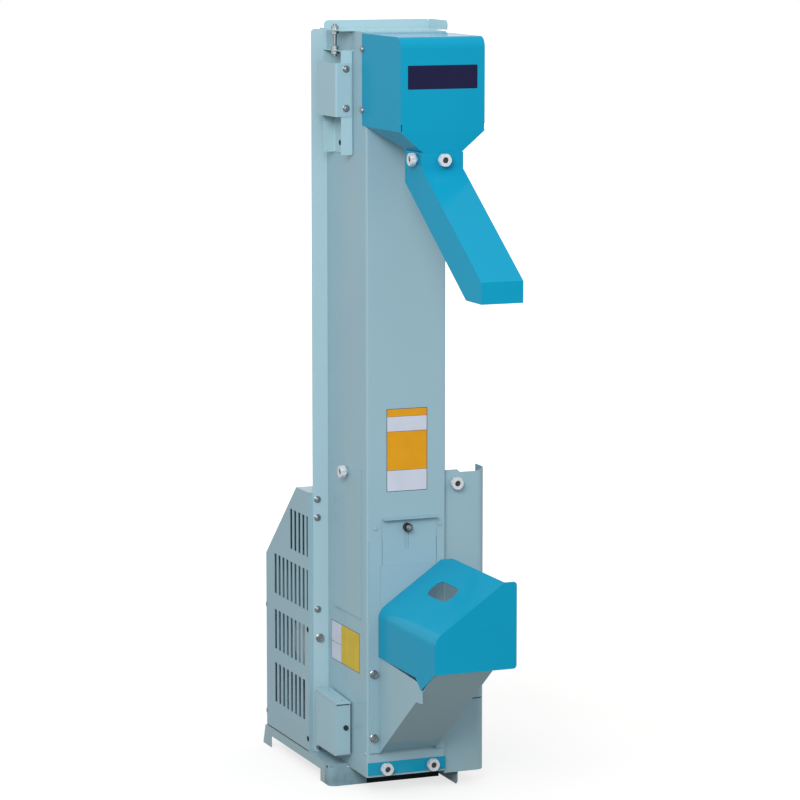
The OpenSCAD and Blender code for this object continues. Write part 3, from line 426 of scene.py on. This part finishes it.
def copies_on(name, spots, shape, finish, scale=1.0, spin=full_turn, seed=1):
    """Sets copies of a pattern on spots, each a place and the way that it faces."""
    data = bpy.data.meshes.new(name)
    data.from_pydata([tuple(place) for place, way in spots], [], [])
    ways = data.attributes.new("facing", "FLOAT_VECTOR", "POINT")
    for item, (place, way) in zip(ways.data, spots):
        item.vector = way
    piece = bpy.data.objects.new(name, data)
    scene.collection.objects.link(piece)
    modifier = piece.modifiers.new("copies", "NODES")
    modifier.node_group = on_points
    sockets = {item.name: item.identifier for item in on_points.interface.items_tree
               if item.in_out == "INPUT"}
    for label, value in (("Pattern", shape), ("Scale", scale), ("Spin", spin), ("Seed", seed),
                         ("Finish", finish)):
        modifier[sockets[label]] = value
    bpy.context.view_layer.update()
    graph = bpy.context.evaluated_depsgraph_get()
    result = bpy.data.meshes.new_from_object(piece.evaluated_get(graph))
    piece.modifiers.clear()
    piece.data = result
    return piece


def x_mm(x):
    """Millimetres to the right of the casing's centre line."""
    return (x - centre_x) * 1000


def y_mm(y):
    """Millimetres behind the casing's front face."""
    return (y - front_y) * 1000


LEFT, FRONT, RIGHT, UP = (-1, 0, 0), (0, -1, 0), (1, 0, 0), (0, 0, 1)
sheet_mm = 1.6
# The casing's flanges, two sheets thick, lie before the motor cover's edge
flange_front = y_mm(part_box("motor_cover_left")[0].y) - 2 * sheet_mm
bearing_front = y_mm(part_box("bearing_cover_left")[0].y)
hood_low, hood_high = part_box("discharge_hood")
cover_screw_x, cover_screw_heights = -105, (553.8, 517.3, 332.7)
bearing_screw_x, bearing_screw_heights = -97.8, (1408, 1333)
hood_screw_y, hood_screw_heights = 13.5, (1447.7, 1332.6)
pan_pattern = pattern("pan_head", turned([(7.0, 0), (7.0, 0.9), (6.4, 1.3)], 24),
                      turned([(5.6, 1.3), (5.7, 2.4), (5.2, 3.6), (4.1, 4.5), (2.4, 5.0),
                              (1.8, 5.05), (1.4, 3.6), (0.2, 3.4)], 24))
pan_spots = [(at(cover_screw_x, flange_front, z), FRONT) for z in cover_screw_heights]
pan_spots += [(at(bearing_screw_x, bearing_front, z), FRONT) for z in bearing_screw_heights]
for hood_side, way in ((x_mm(hood_low.x), LEFT), (x_mm(hood_high.x), RIGHT)):
    pan_spots += [(at(hood_side, hood_screw_y, z), way) for z in hood_screw_heights]
pan_screws = copies_on("pan_screws", pan_spots, pan_pattern, zinc, seed=3)
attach(pan_screws, "root")


# Hexagon screws: forged heads with a pressed flange, for the joints that carry load. Two
# join the casing's flanges low on the left, and two hold the hopper.
def hexagon(angle):
    """The radius of a hexagon with a corner radius of 1 at this angle."""
    return math.cos(math.pi / 6) / math.cos((angle + math.pi / 6) % (math.pi / 3) - math.pi / 6)


flange_screw_x, flange_screw_heights = -101, (274.6, 53.9)
hopper_screw_x, hopper_screw_heights = -69.5, (243, 116)
hopper_flange_y = -4.2
hex_pattern = pattern("hex_head", turned([(8.6, 0), (8.6, 1.0), (7.0, 2.0)], 32),
                      turned([(7.4, 1.6), (7.4, 6.2), (6.7, 6.9), (4.8, 6.9), (4.2, 6.3)], 36,
                             hexagon))
hex_spots = [(at(flange_screw_x, flange_front, z), FRONT) for z in flange_screw_heights]
hex_spots += [(at(hopper_screw_x, hopper_flange_y, z), FRONT) for z in hopper_screw_heights]
hex_screws = copies_on("hex_flange_screws", hex_spots, hex_pattern, zinc, seed=5)
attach(hex_screws, "root")


# Take-up bolts: threaded steel rods that lift the head shaft's bearings to tighten the
# belt. The right one ends under the yoke, with one nut less than the left one.
low_bolt, high_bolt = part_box("takeup_bolt_right")
yoke_mm = (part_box("head_yoke")[0].z - low_bolt.z) * 1000
nut_mm, nut_r, nut_chamfer = 6.5, 7.5, 0.6
shank_r, shank_chamfer = 4.0, 0.4


def nut_at(height):
    """A hexagon nut with chamfered faces, from this height up."""
    return turned([(nut_r - nut_chamfer, height), (nut_r, height + nut_chamfer),
                   (nut_r, height + nut_mm - nut_chamfer), (nut_r - nut_chamfer, height + nut_mm)],
                  36, hexagon)


lower_nut = 0.6 * nut_mm
bolt_pattern = pattern("takeup_bolt",
                       turned([(shank_r - shank_chamfer, 0), (shank_r, 0.6), (shank_r, yoke_mm)], 24),
                       nut_at(lower_nut), nut_at(lower_nut + nut_mm + sheet_mm),
                       nut_at(yoke_mm - nut_mm))
bolt_place = Vector(((low_bolt.x + high_bolt.x) / 2, (low_bolt.y + high_bolt.y) / 2, low_bolt.z))
takeup_bolt = copies_on("takeup_bolt_low", [(bolt_place, UP)], bolt_pattern, zinc, spin=0.0)
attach(takeup_bolt, "root")
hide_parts("takeup_bolt_right")
dress(zinc, "takeup_bolt_left", "takeup_bolt_right")


# Small screws: low round heads that were painted over with the sheet. Two hold the switch
# box's lid, which rises to the back, two sit beside the feed shutter, and one is low on the
# left wall.
lid_front_y, lid_front_z = 78, 171
lid_rise, lid_length = 6, 113
lid_screw_x, lid_screw_depths = -100, (98, 172)
shutter_screws = (at(-63.7, 0, 527.7), at(70.4, 0, 528.4))
wall_screw = at(-wall_mm, 8, 83)
small_pattern = pattern("small_head", turned([(3.6, 0), (3.6, 0.9), (2.9, 1.9), (1.6, 2.3)], 18))
small_spots = [(at(lid_screw_x, y, lid_front_z + (y - lid_front_y) * lid_rise / lid_length), UP)
               for y in lid_screw_depths]
small_spots += [(place, FRONT) for place in shutter_screws] + [(wall_screw, LEFT)]
small_screws = copies_on("small_screws", small_spots, small_pattern, pale_enamel, seed=7)
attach(small_screws, "root")


# Knobs: moulded with shallow finger flutes and screwed on studs, whose nuts sit in the
# knobs' dished centres.

# White nylon: satin, a little milky, so that its edges look soft
nylon, nylon_tree, nylon_shader = new_finish("moulded_white_nylon")
nylon_tree.links.new(wandering_colour(nylon_tree, "#d9dde1", "#ced3d8", 12, detail=3.0),
                     nylon_shader.inputs["Base Color"])
nylon_shader.inputs["Roughness"].default_value = 0.42
nylon_shader.inputs["Subsurface Weight"].default_value = 0.05
nylon_shader.inputs["Subsurface Scale"].default_value = 0.003
knob_r, knob_half_width = 12.5, 12.07
core_depth = 2.9
spout_low, spout_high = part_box("spout_knobs")
clean_low, clean_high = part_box("clean_out_knobs")
guard_low, guard_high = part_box("belt_guard_knob")
check_low, check_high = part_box("inspection_knob")
front_knobs = [(spout_high.x - knob_r / 1000, spout_low.y, spout_high.z - knob_r / 1000)]
front_knobs += [(x, clean_low.y, (clean_low.z + clean_high.z) / 2)
                for x in (clean_low.x + knob_r / 1000, clean_high.x - knob_r / 1000)]
front_knobs += [((guard_low.x + guard_high.x) / 2, guard_low.y, (guard_low.z + guard_high.z) / 2)]
left_knobs = [(spout_low.x, spout_high.y - knob_half_width / 1000, spout_high.z - knob_r / 1000),
              (check_low.x, (check_low.y + check_high.y) / 2, (check_low.z + check_high.z) / 2)]
core_spots = [(Vector((x, y + core_depth / 1000, z)), FRONT) for x, y, z in front_knobs]
core_spots += [(Vector((x + core_depth / 1000, y, z)), LEFT) for x, y, z in left_knobs]
core_pattern = pattern("knob_core", turned([(5.3, 0), (5.3, 0.5), (4.9, 0.6)], 24),
                       turned([(4.4, 0.5), (4.4, 1.5), (3.9, 1.9), (1.8, 1.9), (1.5, 2.4),
                               (0.2, 2.5)], 36, hexagon))
knob_cores = copies_on("knob_cores", core_spots, core_pattern, iron, seed=11)
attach(knob_cores, "root")
dress(nylon, "spout_knobs", "inspection_knob", "clean_out_knobs", "belt_guard_knob")


# Shutter clamp and switch button: moulded knobs. The clamp turns on a plated stud, whose
# end stands out of its middle.

# Black nylon: satin and nearly even
black_nylon, black_tree, black_shader = new_finish("moulded_black_nylon")
black_tree.links.new(wandering_colour(black_tree, "#1b1c1e", "#27282b", 6, detail=3.0),
                     black_shader.inputs["Base Color"])
black_shader.inputs["Roughness"].default_value = 0.45
clamp_low, clamp_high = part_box("shutter_clamp")
clamp_spot = Vector(((clamp_low.x + clamp_high.x) / 2, clamp_low.y,
                     (clamp_low.z + clamp_high.z) / 2))
stud_pattern = pattern("clamp_stud", turned([(5.4, -0.5), (5.4, 0.6), (5.0, 0.9)], 28),
                       turned([(3.1, 0.8), (3.1, 4.4), (2.5, 5.0), (0.4, 5.1)], 24))
clamp_stud = copies_on("clamp_stud", [(clamp_spot, FRONT)], stud_pattern, zinc, seed=13)
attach(clamp_stud, "root")
dress(black_nylon, "switch_button", "shutter_clamp")


# Punched holes that nothing fills, drawn as discs of painted shade on the take-up channels,
# the motor cover and the skirt, and two plated screws that sit flush in the cover's side near
# its rear edge.

# Unlit hole: painted shade, near black without a shine, for holes and open joints
unlit, unlit_tree, unlit_shader = new_finish("unlit_hole")
unlit_tree.links.new(wandering_colour(unlit_tree, "#15191b", "#1f2527", 8),
                     unlit_shader.inputs["Base Color"])
unlit_shader.inputs["Roughness"].default_value = 0.9
unlit_shader.inputs["Specular IOR Level"].default_value = 0.1
channel_face = wall_mm + sheet_mm
cover_left = x_mm(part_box("motor_cover_left")[0].x)
skirt_left = x_mm(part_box("base_skirt_left")[0].x)
wide_r, narrow_r, flush_r = 5.6, 3.0, 5.0
channel_hole_y, channel_hole_z = 136, 1263
cover_hole_y, cover_hole_heights = 220, (291, 68.6)
skirt_hole_y, skirt_hole_z = 112, 37
flush_screw_y, flush_screw_heights = 463, (295.8, 72.8)
# A disc of radius 1, which each piece scales to its own radius
hole_pattern = pattern("punched_hole", turned([(1.0, -0.02), (1.0, 0.02)], 28))
wide_spots = [(at(-channel_face, channel_hole_y, channel_hole_z), LEFT),
              (at(channel_face, channel_hole_y, channel_hole_z), RIGHT)]
wide_spots += [(at(cover_left, cover_hole_y, z), LEFT) for z in cover_hole_heights]
wide_hole_painted_shades = copies_on("punched_holes", wide_spots, hole_pattern, unlit, scale=wide_r, seed=17)
skirt_spots = [(at(skirt_left, skirt_hole_y, skirt_hole_z), LEFT)]
skirt_hole = copies_on("skirt_hole", skirt_spots, hole_pattern, unlit, scale=narrow_r, seed=19)
flush_spots = [(at(cover_left, flush_screw_y, z), LEFT) for z in flush_screw_heights]
flush_screws = copies_on("flush_screws", flush_spots, hole_pattern, zinc, scale=flush_r, seed=23)
for piece, slot in ((wide_hole_painted_shades, "black_plastic"), (skirt_hole, "black_plastic"),
                    (flush_screws, "zinc_plate")):
    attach(piece, "root")
for used in (pan_pattern, hex_pattern, small_pattern, bolt_pattern, core_pattern, stud_pattern,
             hole_pattern):
    bpy.data.objects.remove(used)


# Switch box: a small case of folded sheet on the casing's left flange. The thin gap under
# its lid's front edge is a strip of painted shadow.
def film(name, corner, across, facing, layers):
    """Thin film on a plane: rectangles from low to high with a material and a lift, in mm.

    The first one is the film itself and has rounded corners, the others lie on it.
    """
    thickness, corner_r, corner_steps = 0.12, 1.5, 4
    mesh = bmesh.new()
    materials = []
    for order, (low, high, material, lift) in enumerate(layers):
        if material not in materials:
            materials.append(material)
        origin = corner + Vector(facing) * lift / 1000
        r = min(corner_r, 0.4 * (high[1] - low[1])) if order == 0 else 0.0
        ring = []
        for cx, cy, start in ((high[0] - r, high[1] - r, 0), (low[0] + r, high[1] - r, 90),
                              (low[0] + r, low[1] + r, 180), (high[0] - r, low[1] + r, 270)):
            for k in range(corner_steps + 1 if r else 1):
                angle = math.radians(start + 90 * k / corner_steps)
                x, z = cx + r * math.cos(angle), cy + r * math.sin(angle)
                ring.append(origin + (Vector(across) * x + Vector(UP) * z) / 1000)
        top = [mesh.verts.new(point) for point in ring]
        foot = [mesh.verts.new(point - Vector(facing) * thickness / 1000) for point in ring]
        faces = [mesh.faces.new(top), mesh.faces.new(list(reversed(foot)))]
        for i in range(len(ring)):
            after = (i + 1) % len(ring)
            faces.append(mesh.faces.new((foot[i], foot[after], top[after], top[i])))
        for face in faces:
            face.material_index = materials.index(material)
    bmesh.ops.recalc_face_normals(mesh, faces=mesh.faces)
    data = bpy.data.meshes.new(name)
    mesh.to_mesh(data)
    mesh.free()
    for material in materials:
        data.materials.append(material)
    piece = bpy.data.objects.new(name, data)
    scene.collection.objects.link(piece)
    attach(piece, "root")
    return piece


ACROSS, INWARD = (1, 0, 0), (0, 1, 0)
gap_width, gap_height, gap_lift = 27, 2.0, 0.14
lid_gap_painted_shadow = film("switch_box_gap", at(-114.5, 80, 165.6), ACROSS, FRONT,
               [((0, 0), (gap_width, gap_height), unlit, gap_lift)])
# The switch box has the covers' enamel with painted light
dress(cover_painted_light_enamel, "switch_box")


# Motor cover's foot: the thin open joint where the cover stands on the base is one strip
# of painted shadow along its left side.
foot_low, foot_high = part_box("motor_cover_left")
fold_mm, seam_height = 4, 1.8
seam_length = (foot_high.y - foot_low.y) * 1000 - 2 * fold_mm
cover_seam_painted_shadow = film("motor_cover_seam", foot_low + Vector((0, fold_mm / 1000, 0)), INWARD, LEFT,
                  [((0, 0), (seam_length, seam_height), unlit, gap_lift)])


# Name plate: one piece of printed film with rounded corners on the hood's front, plain navy
# and without words.
def printed_vinyl(name, colour, shade):
    """Printed vinyl film: even in colour, satin, with a little grain."""
    material, tree, shader = new_finish(name)
    tree.links.new(wandering_colour(tree, colour, shade, 30, detail=3.0),
                   shader.inputs["Base Color"])
    tree.links.new(uneven(tree, 0.28, 0.38, 14), shader.inputs["Roughness"])
    shader.inputs["Specular IOR Level"].default_value = 0.15
    return material


# Vinyl in navy: a dark, even field with a satin sheen
navy_vinyl = printed_vinyl("navy_vinyl", "#18183c", "#1b1b42")
plate_width, plate_height, plate_lift = 139, 44, 0.15
plate = film("name_plate", at(-70, -182, 1381), ACROSS, FRONT,
             [((0, 0), (plate_width, plate_height), navy_vinyl, plate_lift)])


# Stickers: printed film on the casing's front and left wall, in plain blocks of colour with
# a thin dark line between them.

# Vinyl in amber, white and yellow: flat, clean colours. The ink is a soft dark grey.
amber_vinyl = printed_vinyl("amber_vinyl", "#e3a11f", "#dd9a1c")
white_vinyl = printed_vinyl("white_vinyl", "#d0d5e4", "#c8cedd")
yellow_vinyl = printed_vinyl("yellow_vinyl", "#d6ba30", "#ccb02a")
ink_vinyl = printed_vinyl("ink_vinyl", "#5b5f66", "#50545b")
film_lift, block_lift = 0.12, 0.2
front_width, front_height, front_edge = 84.5, 161.5, 1.3
front_blocks = [((front_edge, low), (front_width - front_edge, high), colour, block_lift)
                for low, high, colour in ((146.5, 160.3, amber_vinyl), (117.5, 145.8, white_vinyl),
                                          (42, 116.6, amber_vinyl), (1.3, 41.2, white_vinyl))]
front_sticker = film("front_sticker", at(-41, 0, 598), ACROSS, FRONT,
                     [((0, 0), (front_width, front_height), ink_vinyl, film_lift)] + front_blocks)
left_width, left_height = 155, 79
left_blocks = [((1.8, 1.3), (98, 77.7), yellow_vinyl, block_lift),
               ((99, 1.3), (153.2, 36), white_vinyl, block_lift),
               ((99, 37), (153.2, 77.7), white_vinyl, block_lift)]
left_sticker = film("left_sticker", at(-82, 39, 236), INWARD, LEFT,
                    [((0, 0), (left_width, left_height), ink_vinyl, film_lift)] + left_blocks)
